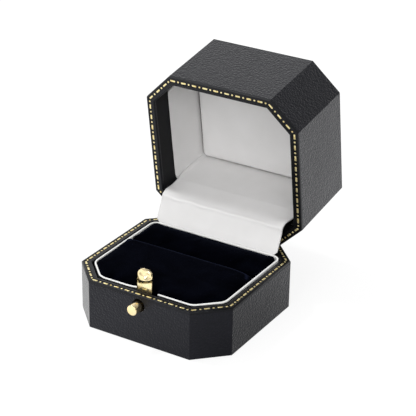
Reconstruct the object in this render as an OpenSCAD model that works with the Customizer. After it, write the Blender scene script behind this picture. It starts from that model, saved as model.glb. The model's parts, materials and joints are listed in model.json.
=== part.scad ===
// Octagonal ring display box, modelled open on its stop.
// Origin: centre of the underside. +Z up, the push button is on the -Y side.

/* [Box] */
// Width over the leatherette, side to side
box_w = 55; // [48:0.5:70]
// Depth over the leatherette, front to back
box_d = 54.2; // [48:0.5:70]
// Length cut off each corner along both sides
corner_cut = 9.3; // [7:0.1:12]
// Height of the base, up to its rim face
base_h = 16.6; // [15.5:0.1:22]
// Height of the lid, from its rim face to its top
lid_h = 27.8; // [25:0.1:40]
// Angle that the lid opens to on its stop
open_angle = 81; // [70:1:88]

/* [Walls] */
// Thickness of the leatherette
cover_t = 0.4; // [0.3:0.05:0.6]
// Thickness of the wooden walls
board_t = 2.1; // [1.8:0.1:3]
// Thickness of the black lining band
lining_t = 0.5; // [0.3:0.1:0.8]
// Thickness of the wooden floor and of the wooden top
floor_t = 2; // [1.5:0.1:3]
// Thickness of the rim boards
rim_t = 1; // [0.8:0.1:1.4]
// Thickness of the card pad that the box stands on
foot_t = 0.5; // [0.3:0.1:1]
// Distance of the card pad from the outside faces
foot_inset = 1; // [0.6:0.1:3]
// Gap between the leatherette and the surface that the box stands on
cover_lift = 0.2; // [0.1:0.05:0.3]
// Gap between the two rim faces when shut
split_gap = 0.2; // [0.1:0.05:0.4]

/* [Gold tooling] */
// Distance of the tooled line from the outside faces
tooling_inset = 1.25; // [0.9:0.05:1.6]
// Length of a dash
dash_l = 1.75; // [1:0.05:2.2]
// Width of a dash
dash_w = 0.65; // [0.3:0.05:0.8]
// Diameter of a dot
dot_d = 0.62; // [0.3:0.02:0.8]
// Distance from one dash to the next
tooling_pitch = 3.95; // [3:0.05:6]
// Thickness of the gold
foil_t = 0.06; // [0.04:0.01:0.1]
// Width of the pressed channel
channel_w = 1.15; // [0.9:0.05:1.4]
// Depth of the pressed channel
channel_depth = 0.12; // [0.1:0.01:0.3]

/* [Hinge] */
// Distance of the hinge line from the rear face
hinge_inset = 1.6; // [1.4:0.05:1.8]
// Diameter of the hinge pin
hinge_pin_d = 0.9; // [0.7:0.05:1]
// Outer diameter of the knuckles
knuckle_d = 1.7; // [1.5:0.05:1.9]
// Distance of the hinge's ends from the cut corners
hinge_end = 1.2; // [1:0.1:6]
// Number of knuckles
knuckles = 5; // [3:2:9]
// Gap between neighbouring knuckles
knuckle_gap = 0.2; // [0.1:0.05:0.4]
// Thickness of the hinge leaves
leaf_t = 0.4; // [0.3:0.05:0.5]
// Depth of the leaves in the walls, from the hinge line
leaf_h = 6.5; // [4:0.1:9]

/* [Latch] */
// Width of the brass tongue
tongue_w = 5.3; // [4:0.1:6]
// Thickness of the tongue
tongue_t = 0.6; // [0.4:0.05:0.7]
// Height of the tongue's tip over the rim face
tongue_rise = 7.9; // [6.5:0.1:9]
// Angle that the upper tongue leans back
tongue_lean = 4; // [3:0.5:6]
// Height of the hook's ledge over the rim face
ledge_rise = 3.4; // [3.2:0.1:4]
// Reach of the hook in front of the tongue
hook_reach = 0.75; // [0.5:0.05:0.9]
// Diameter of the push button
button_d = 3.4; // [2.6:0.1:3.6]
// Length of the button outside the wall
button_out = 3.8; // [3:0.1:5]
// Depth of the button's middle below the rim face
button_drop = 3.3; // [3.2:0.1:5]
// Diameter of the button's rivet
rivet_d = 1.6; // [1:0.1:2]
// Diameter of the tongue's pivot pin
pivot_d = 1; // [0.8:0.1:1.2]
// Outer diameter of the tongue's rolled foot
foot_roll_d = 1.8; // [1.7:0.1:2.2]
// Angle that the latch swings when the button is pushed
press_angle = 4.5; // [3:0.5:5]
// Thickness of the pivot bracket
plate_t = 0.5; // [0.4:0.05:0.6]

/* [Inside] */
// Distance of the white collar from the outside faces
collar_inset = 3.5; // [3.4:0.05:3.8]
// Thickness of the collar
collar_t = 0.8; // [0.6:0.05:1]
// Height of the collar over the rim face
collar_rise = 0.9; // [0.5:0.1:1.5]
// Distance of the collar's rear side from the rear face
collar_rear_inset = 8.9; // [8.4:0.1:10.6]
// Radius of the collar's rear corners
collar_r = 3; // [2:0.1:4]
// Distance of the ring slot behind the middle of the box
slot_y = 3.2; // [0:0.1:6]
// Width of the ring slot between the two cushions
slot_w = 0.8; // [0.5:0.1:1.5]
// Depth of the lid's black band, from its rim face to the satin
band_h = 8.3; // [6:0.1:10]
// Thickness of the padded satin on the lid's walls
liner_t = 0.9; // [0.7:0.1:1.2]
// Thickness of the lid's satin cushion in its middle
lid_pad_t = 2.2; // [1.5:0.1:3]
// Thickness of the satin flap over the hinge
flap_t = 0.5; // [0.3:0.05:0.7]
// Height of the flap's fold over the rim face
fold_rise = 8.7; // [7:0.1:10]

/* [Clearances] */
// Gap round the hinge knuckles and the pivot's rolled foot
knuckle_clear = 0.15; // [0.1:0.01:0.2]
// Gap between a turning bore and its pin
running_clear = 0.05; // [0.02:0.01:0.08]
// Gap round the tongue and the hook
latch_clear = 0.35; // [0.25:0.05:0.5]
// Extra gap on the right of the tongue, where the collar stops short
collar_stop = 1.4; // [0:0.1:2]
// Gap round the button in the wall
button_clear = 0.5; // [0.4:0.05:0.6]
// Gap between the pushed tongue and the velvet behind it
push_clear = 0.9; // [0.5:0.1:1.2]
// Gap between soft pieces and what they lie against
soft_clear = 0.12; // [0.1:0.01:0.2]
// Gap between the two stop bevels when the lid is open
stop_clear = 0.02; // [0.01:0.01:0.05]

/* [Hidden] */
$fn = 48;

// Insets of the surfaces across a wall, from the outside face
board_in = cover_t + board_t;
rim_w = board_in + lining_t;
liner_in = board_in + liner_t;

// Heights in the base
shell_z = foot_t;
floor_z = shell_z + floor_t;
wall_top = base_h - rim_t;

// Heights in the shut lid
lid_z = base_h + split_gap;
lid_wall_z = lid_z + rim_t;
lid_top = lid_z + lid_h;
lid_ceiling = lid_top - cover_t - floor_t;
liner_z = lid_z + band_h;

// Faces of the walls at the front
front_in = rim_w - box_d / 2;

// Hinge line
hinge_len = box_w - 2 * corner_cut - 2 * hinge_end;
hinge_y = box_d / 2 - hinge_inset;
hinge_z = base_h + split_gap / 2;
bevel_angle = open_angle / 2 + asin(stop_clear / hinge_inset) / 2;
leaf_edge = hinge_y - leaf_t / 2;

// Collar and cushions
collar_front = box_d / 2 - collar_inset;
collar_rear = box_d / 2 - collar_rear_inset;
collar_top = base_h + collar_rise;
cushion_in = collar_inset + collar_t + soft_clear;
cushion_rear = collar_rear - collar_t - soft_clear;
cushion_z = floor_z + soft_clear;
cushion_edge = collar_top - 1;

// Latch
foot_roll_y = front_in + latch_clear / 3 + foot_roll_d / 2;
foot_roll_z = floor_z + foot_roll_d / 2 + knuckle_clear;
tongue_front = foot_roll_y - foot_roll_d / 2;
tongue_back = tongue_front + tongue_t;
tongue_tip = base_h + tongue_rise;
bend_z = base_h;
ledge_z = base_h + ledge_rise;
button_z = base_h - button_drop;
rivet_head = 0.3;
ear_clear = 0.3;
ear_x = tongue_w / 2 + ear_clear;
bracket_back = 4.4;
ear_room = 2.2;
pocket_y = tongue_back + (collar_top - foot_roll_z) * tan(press_angle) + push_clear;
pocket_z = button_z - 0.6;
spring_pocket_y = foot_roll_y + bracket_back + soft_clear;
spring_t = 0.3;
spring_w = 3;

// Catch plate in the lid
catch_w = tongue_w + 4;
catch_z = lid_wall_z;
catch_h = liner_z - catch_z;
window_w = tongue_w + 2 * latch_clear + 0.2;
hook_play = 0.1;
window_z = ledge_z - hook_play;
window_h = tongue_tip - window_z;
recess_d = 0.8;
pin_d = 0.9;
pin_l = 1.7;
pin_x = (catch_w + window_w) / 4;

// Flap
flap_front = collar_rear + soft_clear;
flap_mid = flap_front + flap_t / 2;
flap_lid_y = collar_rear - collar_t + flap_t / 2;
fold_before = 3.9;
fold = [hinge_y - fold_before, base_h + fold_rise];
fold_run = 3.2;
lid_soft_rear = flap_lid_y - flap_t / 2 - soft_clear;

// Octagon at an even distance inside the outside faces
function octagon(inset) =
    let (w = box_w / 2 - inset, d = box_d / 2 - inset, k = corner_cut - inset * (2 - sqrt(2)))
    [[w - k, -d], [w, k - d], [w, d - k], [w - k, d], [k - w, d], [-w, d - k], [-w, k - d], [k - w, -d]];

// Half-width of that octagon at a distance y from the middle
function octagon_half(inset, y) =
    min(box_w / 2 - inset, box_w / 2 + box_d / 2 - corner_cut - inset * sqrt(2) - abs(y));

// Half-width of a tray that has the octagon's front and a straight rear side with round corners
function tray_half(inset, rear, r, y) =
    let (w = octagon_half(inset, min(y, 0)), over = y - rear + r)
    over <= 0 ? w : w - r + sqrt(max(0, r * r - over * over));

// Outline of that tray
function tray(inset, rear, r, steps = 8) =
    let (front = octagon(inset), w = box_w / 2 - inset,
        arc = [for (i = [0 : steps]) [w - r + r * cos(90 * i / steps), rear - r + r * sin(90 * i / steps)]])
    concat([front[0], front[1]], arc,
        [for (i = [steps : -1 : 0]) [-arc[i].x, arc[i].y]], [front[6], front[7]]);

// Place in the open lid of a point of the shut lid, both as [y, z]
function opened(p) =
    let (dy = p[0] - hinge_y, dz = p[1] - hinge_z)
    [hinge_y + dy * cos(open_angle) + dz * sin(open_angle),
        hinge_z - dy * sin(open_angle) + dz * cos(open_angle)];

// Point at a share t of a curve from a to c that is drawn towards b
function bend(a, b, c, t) = (1 - t) * (1 - t) * a + 2 * t * (1 - t) * b + t * t * c;

// Unit normal of a path at one of its points
function path_normal(path, i) =
    let (a = path[max(0, i - 1)], b = path[min(len(path) - 1, i + 1)], d = b - a)
    [-d[1], d[0]] / norm(d);

// Outline of a bent strip of even thickness
function strip(path, t) = concat(
    [for (i = [0 : len(path) - 1]) path[i] + path_normal(path, i) * t / 2],
    [for (i = [len(path) - 1 : -1 : 0]) path[i] - path_normal(path, i) * t / 2]);

// Height lost at a distance d inside a rounded edge of radius r
function rounded(d, r) = d >= r ? 0 : let (e = r - max(0, d)) r - sqrt(r * r - e * e);

// Prism between two heights
module slab(points, z0, z1) translate([0, 0, z0]) linear_extrude(z1 - z0) polygon(points);

// Octagonal ring between two insets and two heights
module ring(outer, inner, z0, z1) {
    translate([0, 0, z0]) linear_extrude(z1 - z0) difference() {
        polygon(octagon(outer));
        polygon(octagon(inner));
    }
}

// Bar along X with a [y, z] outline, centred on the middle of the box
module bar(points, length) {
    rotate([90, 0, 90]) translate([0, 0, -length / 2]) linear_extrude(length) polygon(points);
}

// Rod along X
module rod(d, length, y, z) {
    translate([-length / 2, y, z]) rotate([0, 90, 0]) cylinder(d = d, h = length);
}

// Rod along Y from y0 to y1
module rod_y(d, y0, y1, z, x = 0) {
    translate([x, y1, z]) rotate([90, 0, 0]) cylinder(d = d, h = y1 - y0);
}

// Turns shut-lid pieces to the open position
module lid_open() {
    translate([0, hinge_y, hinge_z]) rotate([-open_angle, 0, 0])
        translate([0, -hinge_y, -hinge_z]) children();
}

// Wedge cut behind the hinge line, down for the base and up for the lid
module bevel_cut(up) {
    reach = hinge_inset + 2;
    drop = (up ? 1 : -1) * reach * tan(bevel_angle);
    bar([[hinge_y, hinge_z], [hinge_y + reach, hinge_z], [hinge_y + reach, hinge_z + drop]], box_w + 2);
}

// Room for the knuckles and for the leaf of one half
module hinge_cut(up) {
    z0 = up ? hinge_z : hinge_z - leaf_h;
    rod(knuckle_d + 2 * knuckle_clear, hinge_len + 2 * knuckle_gap, hinge_y, hinge_z);
    translate([-hinge_len / 2, leaf_edge, z0]) cube([hinge_len, leaf_t, leaf_h]);
}

// Closed cushion on a flat back, from a half-width and a height that vary over its length
module cushion_form(y0, y1, nx, ny, back_z, half_at, top_at) {
    rows = [for (j = [0 : ny]) y0 + (y1 - y0) * (1 - cos(180 * j / ny)) / 2];
    top = [for (y = rows) for (i = [0 : nx])
        let (x = half_at(y) * sin(90 * (2 * i / nx - 1))) [x, y, top_at(x, y)]];
    back = [for (p = top) [p.x, p.y, back_z]];
    n = len(top);
    w = nx + 1;
    cells = [for (j = [0 : ny - 1]) for (i = [0 : nx - 1]) j * w + i];
    up = [for (c = cells) each [[c, c + w + 1, c + 1], [c, c + w, c + w + 1]]];
    down = [for (c = cells) each [[n + c, n + c + 1, n + c + w + 1], [n + c, n + c + w + 1, n + c + w]]];
    rim_loop = concat([for (i = [0 : nx - 1]) i], [for (j = [0 : ny - 1]) j * w + nx],
        [for (i = [nx : -1 : 1]) ny * w + i], [for (j = [ny : -1 : 1]) j * w]);
    m = len(rim_loop);
    sides = [for (k = [0 : m - 1]) let (a = rim_loop[k], b = rim_loop[(k + 1) % m])
        each [[a, b, n + b], [a, n + b, n + a]]];
    polyhedron(concat(top, back), concat(up, down, sides));
}

// Sheet of even thickness along a [y, z] path, with its own half-width at each point
module sheet(path, halves, t) {
    n = len(path);
    points = [for (i = [0 : n - 1]) let (a = path[i] + path_normal(path, i) * t / 2,
        b = path[i] - path_normal(path, i) * t / 2, w = halves[i])
        each [[-w, a[0], a[1]], [w, a[0], a[1]], [w, b[0], b[1]], [-w, b[0], b[1]]]];
    walls = [for (i = [0 : n - 2]) for (k = [0 : 3]) let (a = 4 * i + k, b = 4 * i + (k + 1) % 4)
        each [[a, b, b + 4], [a, b + 4, a + 4]]];
    ends = [[0, 2, 1], [0, 3, 2], [4 * n - 4, 4 * n - 3, 4 * n - 2], [4 * n - 4, 4 * n - 2, 4 * n - 1]];
    polyhedron(points, concat(walls, ends));
}

// Centres of the dashes and dots along the tooled line: [x, y, angle, is dash]
function tooling_marks() =
    let (line = octagon(tooling_inset))
    [for (s = [0 : 7]) if (s != 3)
        let (a = line[s], b = line[(s + 1) % 8], l = norm(b - a), n = max(1, round(l / tooling_pitch)),
            angle = atan2(b.y - a.y, b.x - a.x))
        for (i = [0 : 2 * n - 1])
            let (p = a + (b - a) * (i + 0.5) / (2 * n))
            if (p.y < hinge_y - dash_l / 2) [p.x, p.y, angle, i % 2 == 0]];

// Gold marks between two heights
module tooling(z0, z1) {
    translate([0, 0, z0]) for (m = tooling_marks()) {
        translate([m[0], m[1], 0]) rotate([0, 0, m[2]]) {
            if (m[3]) translate([-dash_l / 2, -dash_w / 2, 0]) cube([dash_l, dash_w, z1 - z0]);
            else rotate([0, 0, 22.5]) cylinder(d = dot_d, h = z1 - z0, $fn = 8);
        }
    }
}

// Wooden tray of the base, with the button's hole and the slot for the hinge leaf
module base_shell() {
    color("burlywood") difference() {
        slab(octagon(cover_t), shell_z, wall_top);
        slab(octagon(board_in), floor_z, wall_top + 1);
        rod_y(button_d + 2 * button_clear, -box_d / 2 - 1, front_in + 1, button_z);
        hinge_cut(false);
        bevel_cut(false);
    }
}

// Leatherette round the base
module base_cover() {
    color("#333338") difference() {
        ring(0, cover_t, cover_lift, wall_top);
        rod_y(button_d + 2 * button_clear, -box_d / 2 - 1, front_in + 1, button_z);
        bevel_cut(false);
    }
}

// Covered rim board of the base, with the pressed channel
module base_rim() {
    color("#3a3a3c") difference() {
        ring(0, rim_w, wall_top, base_h);
        ring(tooling_inset - channel_w / 2, tooling_inset + channel_w / 2,
            base_h - channel_depth, base_h + 1);
        hinge_cut(false);
        bevel_cut(false);
    }
}

// Gold dashes and dots on the base rim
module base_tooling() {
    color("#e0c878") tooling(base_h - channel_depth, base_h - channel_depth + foil_t);
}

// Black lining of the base walls
module base_lining() {
    color("#1b1b1f") difference() {
        ring(board_in, rim_w, floor_z, wall_top);
        rod_y(button_d + 2 * button_clear, -box_d / 2 - 1, front_in + 1, button_z);
    }
}

// Card pad under the base
module foot_pad() {
    color("#18181a") slab(octagon(foot_inset), 0, foot_t);
}

// White collar that holds the cushions, notched for the latch
module collar() {
    notch_l = tongue_w / 2 + latch_clear;
    notch_r = notch_l + collar_stop;
    low_half = ear_x + plate_t + latch_clear;
    color("#f4f4f2") difference() {
        slab(tray(collar_inset, collar_rear, collar_r), floor_z, collar_top);
        slab(tray(collar_inset + collar_t, collar_rear - collar_t, collar_r - collar_t),
            floor_z - 1, collar_top + 1);
        translate([-notch_l, -collar_front - 1, floor_z - 1])
            cube([notch_l + notch_r, collar_t + 2, collar_top]);
        translate([-low_half, -collar_front - 1, floor_z - 1])
            cube([2 * low_half, collar_t + 2, foot_roll_z + ear_room - floor_z]);
    }
}

// Velvet cushion in front of the ring slot
module front_cushion() {
    rear = slot_y - slot_w / 2;
    front = cushion_in - box_d / 2;
    edge_r = 1.6;
    lip_r = 2.4;
    rear_rise = 1.1;
    crown = 0.25;
    corner_drop = 1.2;
    corner_side = 6;
    corner_back = 5;
    half_at = function (y) tray_half(cushion_in, cushion_rear, collar_r, y);
    top_at = function (x, y)
        let (side = half_at(y) - abs(x), rise = rear_rise * (y - front) / (rear - front))
        cushion_edge + rise + crown * (1 - pow(x / half_at(y), 4))
            - rounded(side, edge_r) - rounded(y - front, edge_r) - rounded(rear - y, lip_r)
            - corner_drop * pow(max(0, 1 - side / corner_side), 2) * max(0, 1 - (rear - y) / corner_back);
    notch_l = tongue_w / 2 + latch_clear;
    pocket_half = ear_x + plate_t + latch_clear;
    color("#0b0b14") difference() {
        cushion_form(front, rear, 20, 16, cushion_z, half_at, top_at);
        translate([-notch_l, front - 1, 0])
            cube([2 * notch_l + collar_stop / 2, pocket_y - front + 1, collar_top + 2]);
        translate([-pocket_half, front - 1, 0]) cube([2 * pocket_half, spring_pocket_y - front + 1, pocket_z]);
    }
}

// Velvet cushion behind the ring slot, sloping down into it
module rear_cushion() {
    front = slot_y + slot_w / 2;
    edge_r = 1.6;
    crest = front + 9;
    crest_rise = 0.9;
    slope_drop = 2.6;
    half_at = function (y) tray_half(cushion_in, cushion_rear, collar_r - collar_t, y);
    top_at = function (x, y)
        let (side = half_at(y) - abs(x), fall = max(0, (crest - y) / (crest - front)))
        cushion_edge + crest_rise - slope_drop * pow(fall, 1.6)
            - rounded(side, edge_r) - rounded(cushion_rear - y, edge_r)
            - rounded(y - front, edge_r / 2);
    color("#0b0b14") cushion_form(front, cushion_rear, 20, 16, cushion_z, half_at, top_at);
}

// Brass tongue, rolled round its pivot at the foot, with the pressed-out hook at the top
module latch_tongue() {
    lean = tan(tongue_lean);
    hook_side = 0.3;
    hook_lip = 0.6;
    hook_middle = ledge_z + 1.3;
    hook_root = 0.1;
    top_front = tongue_front + (tongue_tip - bend_z) * lean;
    hook_top = tongue_tip - 0.9;
    ledge_front = tongue_front + (ledge_z - bend_z) * lean;
    hook_top_front = tongue_front + (hook_top - bend_z) * lean;
    tip_r = tongue_w / 2;
    color("#d8b860") difference() {
        union() {
            intersection() {
                bar([[tongue_front, foot_roll_z], [tongue_front, bend_z], [top_front, tongue_tip],
                    [top_front + tongue_t, tongue_tip], [tongue_back, bend_z],
                    [tongue_back, foot_roll_z]], tongue_w);
                union() {
                    translate([-tongue_w / 2, tongue_front - 1, 0])
                        cube([tongue_w, 4, tongue_tip - tip_r]);
                    rod_y(tongue_w, tongue_front - 1, tongue_front + 3, tongue_tip - tip_r);
                }
            }
            intersection() {
                bar([[ledge_front + hook_root, ledge_z], [ledge_front - hook_reach, ledge_z],
                    [ledge_front - hook_reach, ledge_z + hook_lip], [hook_top_front + hook_root, hook_top]],
                    tongue_w - 2 * hook_side);
                rod_y(tongue_w - 2 * hook_side, ledge_front - 2, ledge_front + 2, hook_middle);
            }
            rod(foot_roll_d, tongue_w, foot_roll_y, foot_roll_z);
        }
        rod(pivot_d + 2 * running_clear, tongue_w + 1, foot_roll_y, foot_roll_z);
        rod_y(rivet_d, tongue_front - 1, tongue_back + 1, button_z);
    }
}

// Push button with its rivet through the tongue
module latch_button() {
    outer = -box_d / 2 - button_out;
    dome = 0.35;
    head_r = rivet_d / 2 + 0.45;
    head_round = 0.2;
    color("#d8b860") translate([0, tongue_front, button_z]) rotate([90, 0, 0]) rotate_extrude() polygon([
        [0, -tongue_t - rivet_head], [head_r - head_round, -tongue_t - rivet_head],
        [head_r, -tongue_t], [rivet_d / 2, -tongue_t], [rivet_d / 2, 0], [button_d / 2, 0],
        [button_d / 2, tongue_front - outer - dome], [button_d / 2 - dome / 2, tongue_front - outer - dome / 4],
        [button_d / 2 - dome, tongue_front - outer], [0, tongue_front - outer]]);
}

// Bracket on the floor that carries the pivot pin
module latch_bracket() {
    back = foot_roll_y + bracket_back;
    color("#c8a850") difference() {
        union() {
            translate([-ear_x - plate_t, foot_roll_y + foot_roll_d / 2 + knuckle_clear, floor_z])
                cube([2 * (ear_x + plate_t), back - foot_roll_y - foot_roll_d / 2 - knuckle_clear, plate_t]);
            for (x = [-ear_x - plate_t, ear_x]) translate([x, foot_roll_y, floor_z]) {
                cube([plate_t, bracket_back, plate_t]);
                translate([0, -foot_roll_d / 2, 0]) cube([plate_t, foot_roll_d, foot_roll_z - floor_z]);
                translate([0, 0, foot_roll_z - floor_z]) rotate([0, 90, 0])
                    cylinder(d = foot_roll_d, h = plate_t);
            }
        }
        rod(pivot_d, 4 * ear_x, foot_roll_y, foot_roll_z);
    }
}

// Pivot pin through the bracket and the rolled foot
module latch_pivot_pin() {
    color("silver") rod(pivot_d, 2 * (ear_x + plate_t), foot_roll_y, foot_roll_z);
}

// Leaf spring from the bracket to the back of the tongue
module latch_spring() {
    foot_end = 0.2;
    heel_back = 1.6;
    knee = 0.6;
    tip_gap = 0.02;
    tip_drop = 2;
    foot = [foot_roll_y + bracket_back - foot_end, floor_z + plate_t + spring_t / 2];
    heel = [foot_roll_y + foot_roll_d / 2 + heel_back, foot[1]];
    tip = [tongue_back + spring_t / 2 + tip_gap, button_z - tip_drop];
    path = concat([foot], [for (i = [0 : 8]) bend(heel, [tip[0] + knee, foot[1] + knee], tip, i / 8)]);
    color("silver") bar(strip(path, spring_t), spring_w);
}

// One half of the hinge: every second knuckle on a leaf, pointing down or up
module hinge_leaf(up, first, bore) {
    pitch = hinge_len / knuckles;
    side = up ? 1 : -1;
    z_free = hinge_z + side * (knuckle_d / 2 + knuckle_clear);
    z_end = hinge_z + side * leaf_h;
    difference() {
        union() {
            translate([-hinge_len / 2, leaf_edge, min(z_free, z_end)])
                cube([hinge_len, leaf_t, abs(z_end - z_free)]);
            for (i = [first : 2 : knuckles - 1]) {
                x = -hinge_len / 2 + i * pitch + knuckle_gap / 2;
                translate([x, leaf_edge, min(hinge_z, z_free)])
                    cube([pitch - knuckle_gap, leaf_t, abs(z_free - hinge_z)]);
                translate([x, hinge_y, hinge_z]) rotate([0, 90, 0])
                    cylinder(d = knuckle_d, h = pitch - knuckle_gap);
            }
        }
        rod(bore, hinge_len + 2, hinge_y, hinge_z);
    }
}

// Hinge leaf let into the rear wall of the base
module base_hinge_leaf() {
    color("#c8a850") hinge_leaf(false, 0, hinge_pin_d);
}

// Hinge leaf let into the rear wall of the lid
module lid_hinge_leaf() {
    color("#c8a850") lid_open() hinge_leaf(true, 1, hinge_pin_d + 2 * running_clear);
}

// Hinge pin
module hinge_pin() {
    color("silver") rod(hinge_pin_d, hinge_len - knuckle_gap, hinge_y, hinge_z);
}

// Satin flap from behind the collar, over the hinge, to the lid's cushion
module satin_flap() {
    tuck_z = floor_z + 4;
    low = [flap_mid, tuck_z];
    lip = [flap_mid, collar_top];
    lip_round = 0.8;
    sag = 0.1;
    lid_end = opened([flap_lid_y, lid_ceiling - soft_clear]);
    rise = (fold - lip) / norm(fold - lip);
    run = (lid_end - fold) / norm(lid_end - fold);
    turn = [for (i = [0 : 6]) bend(fold - rise * fold_run, fold, fold + run * fold_run, i / 6)];
    path = concat([low, lip - [0, lip_round], lip + rise * lip_round], turn,
        [opened([flap_lid_y - sag, liner_z]), lid_end]);
    low_half = octagon_half(rim_w, flap_mid + flap_t / 2) - soft_clear;
    lid_half = octagon_half(rim_w, flap_lid_y + flap_t / 2) - soft_clear;
    halves = [for (p = path) p[1] < collar_top + 1 && p[0] < fold[0] ? low_half : lid_half];
    color("#e8e6e2") sheet(path, halves, flap_t);
}

// Wooden box of the lid, with the catch recess and the slot for the hinge leaf
module lid_shell() {
    color("burlywood") lid_open() difference() {
        slab(octagon(cover_t), lid_wall_z, lid_top - cover_t);
        slab(octagon(board_in), lid_wall_z - 1, lid_ceiling);
        translate([-window_w / 2, board_in - box_d / 2 - recess_d, window_z])
            cube([window_w, recess_d + 1, window_h]);
        for (x = [-1, 1]) rod_y(pin_d, front_in - pin_l, front_in + 1, window_z + window_h / 2, x * pin_x);
        hinge_cut(true);
        bevel_cut(true);
    }
}

// Leatherette over the lid
module lid_cover() {
    color("#515254") lid_open() difference() {
        slab(octagon(0), lid_wall_z, lid_top);
        slab(octagon(cover_t), lid_wall_z - 1, lid_top - cover_t);
        bevel_cut(true);
    }
}

// Covered rim board of the lid, with the pressed channel
module lid_rim() {
    color("#3a3a3c") lid_open() difference() {
        ring(0, rim_w, lid_z, lid_wall_z);
        ring(tooling_inset - channel_w / 2, tooling_inset + channel_w / 2, lid_z - 1, lid_z + channel_depth);
        hinge_cut(true);
        bevel_cut(true);
    }
}

// Gold dashes and dots on the lid rim
module lid_tooling() {
    color("#e0c878") lid_open() tooling(lid_z + channel_depth - foil_t, lid_z + channel_depth);
}

// Black band inside the lid walls
module lid_lining() {
    color("#1b1b1f") lid_open() difference() {
        ring(board_in, rim_w, lid_wall_z, liner_z);
        translate([-catch_w / 2, -box_d / 2, catch_z - 1]) cube([catch_w, rim_w + 1, catch_h + 2]);
    }
}

// Padded satin on the lid walls, from the black band to the cushion
module lid_liner() {
    color("#d8d6d2") lid_open() difference() {
        ring(board_in, liner_in, liner_z, lid_ceiling);
        translate([-box_w / 2, lid_soft_rear, 0]) cube([box_w, box_d, lid_top]);
    }
}

// Satin cushion under the lid's top
module lid_cushion() {
    inset = liner_in + soft_clear;
    edge_t = 1.2;
    edge_r = 0.96;
    slope = 18;
    r = collar_r - collar_t;
    half_at = function (y) tray_half(inset, lid_soft_rear, r, y);
    front = inset - box_d / 2;
    top_at = function (x, y)
        let (side = min(half_at(y) - abs(x), y - front, lid_soft_rear - y))
        lid_pad_t - (lid_pad_t - edge_t) * pow(max(0, 1 - side / slope), 2) - rounded(side, edge_r);
    color("#e0deda") lid_open() translate([0, 0, lid_ceiling]) mirror([0, 0, 1])
        cushion_form(front, lid_soft_rear, 20, 18, 0, half_at, top_at);
}

// Brass catch plate with the hook's window
module lid_catch_plate() {
    color("#d8b860") lid_open() difference() {
        translate([-catch_w / 2, front_in - lining_t, catch_z]) cube([catch_w, lining_t, catch_h]);
        translate([-window_w / 2, front_in - lining_t - 1, window_z]) cube([window_w, lining_t + 2, window_h]);
        for (x = [-1, 1]) rod_y(pin_d, front_in - pin_l, front_in + 1, window_z + window_h / 2, x * pin_x);
    }
}

// Pins of the catch plate
module lid_catch_pins() {
    color("#c8a850") lid_open() for (x = [-1, 1])
        rod_y(pin_d, front_in - pin_l, front_in, window_z + window_h / 2, x * pin_x);
}

base_shell();
base_cover();
base_rim();
base_tooling();
base_lining();
foot_pad();
collar();
front_cushion();
rear_cushion();
latch_tongue();
latch_button();
latch_bracket();
latch_pivot_pin();
latch_spring();
base_hinge_leaf();
lid_hinge_leaf();
hinge_pin();
satin_flap();
lid_shell();
lid_cover();
lid_rim();
lid_tooling();
lid_lining();
lid_liner();
lid_cushion();
lid_catch_plate();
lid_catch_pins();
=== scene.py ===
import json
import math
import random

import bmesh
import bpy
from mathutils import Matrix, Vector, noise


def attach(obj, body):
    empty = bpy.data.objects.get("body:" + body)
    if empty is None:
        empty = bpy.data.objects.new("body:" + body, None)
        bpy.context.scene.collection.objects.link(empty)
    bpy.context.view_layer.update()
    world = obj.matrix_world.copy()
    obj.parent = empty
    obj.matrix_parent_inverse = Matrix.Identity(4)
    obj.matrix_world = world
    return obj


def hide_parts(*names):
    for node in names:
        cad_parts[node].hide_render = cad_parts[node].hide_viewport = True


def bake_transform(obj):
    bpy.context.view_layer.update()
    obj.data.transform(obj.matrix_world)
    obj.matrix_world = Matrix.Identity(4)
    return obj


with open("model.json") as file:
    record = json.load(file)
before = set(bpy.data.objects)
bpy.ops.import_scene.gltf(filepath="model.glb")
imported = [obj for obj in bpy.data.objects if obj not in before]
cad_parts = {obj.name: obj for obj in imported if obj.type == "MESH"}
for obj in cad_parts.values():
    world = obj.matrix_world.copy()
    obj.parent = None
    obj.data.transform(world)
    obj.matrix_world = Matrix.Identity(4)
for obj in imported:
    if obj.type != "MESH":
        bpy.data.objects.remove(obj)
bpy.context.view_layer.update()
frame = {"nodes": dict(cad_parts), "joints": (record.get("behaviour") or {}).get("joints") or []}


# Wooden tray of the base and wooden box of the lid. Thin pine board, sawn and glued, coloured near black as
# painted shade, so that no pale sliver shows beside the linings or round the push button.
def colour(code):
    """Linear colour of an sRGB hex value."""
    parts = [int(code[i:i + 2], 16) / 255 for i in (1, 3, 5)]
    return [c / 12.92 if c <= 0.04045 else ((c + 0.055) / 1.055) ** 2.4 for c in parts] + [1.0]


def add(material, kind, inputs, **settings):
    """Adds a node to a material or the world: its settings, then its inputs as values or links."""
    node = material.node_tree.nodes.new("ShaderNode" + kind)
    for key, value in settings.items():
        setattr(node, key, value)
    for key, value in inputs.items():
        if isinstance(value, bpy.types.NodeSocket):
            material.node_tree.links.new(value, node.inputs[key])
        else:
            node.inputs[key].default_value = value
    return node


def surfaced(name, inputs):
    """New material with inputs of its surface shader set; returns it, the shader and object coordinates."""
    material = bpy.data.materials.new(name)
    material.use_nodes = True
    material.node_tree.nodes.clear()
    shader = add(material, "BsdfPrincipled", inputs)
    add(material, "OutputMaterial", {"Surface": shader.outputs[0]})
    place = add(material, "TexCoord", {}).outputs["Object"]
    return material, shader, place


def join(material, output, shader, socket):
    """Links an output to one of the shader's sockets."""
    material.node_tree.links.new(output, shader.inputs[socket])


def tinted(material, shader, share, first, second):
    """Base colour that runs from the first colour to the second as the share goes from 0 to 1."""
    tint = add(material, "MixRGB", {"Fac": share, "Color1": colour(first), "Color2": colour(second)})
    join(material, tint.outputs[0], shader, "Base Color")


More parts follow.
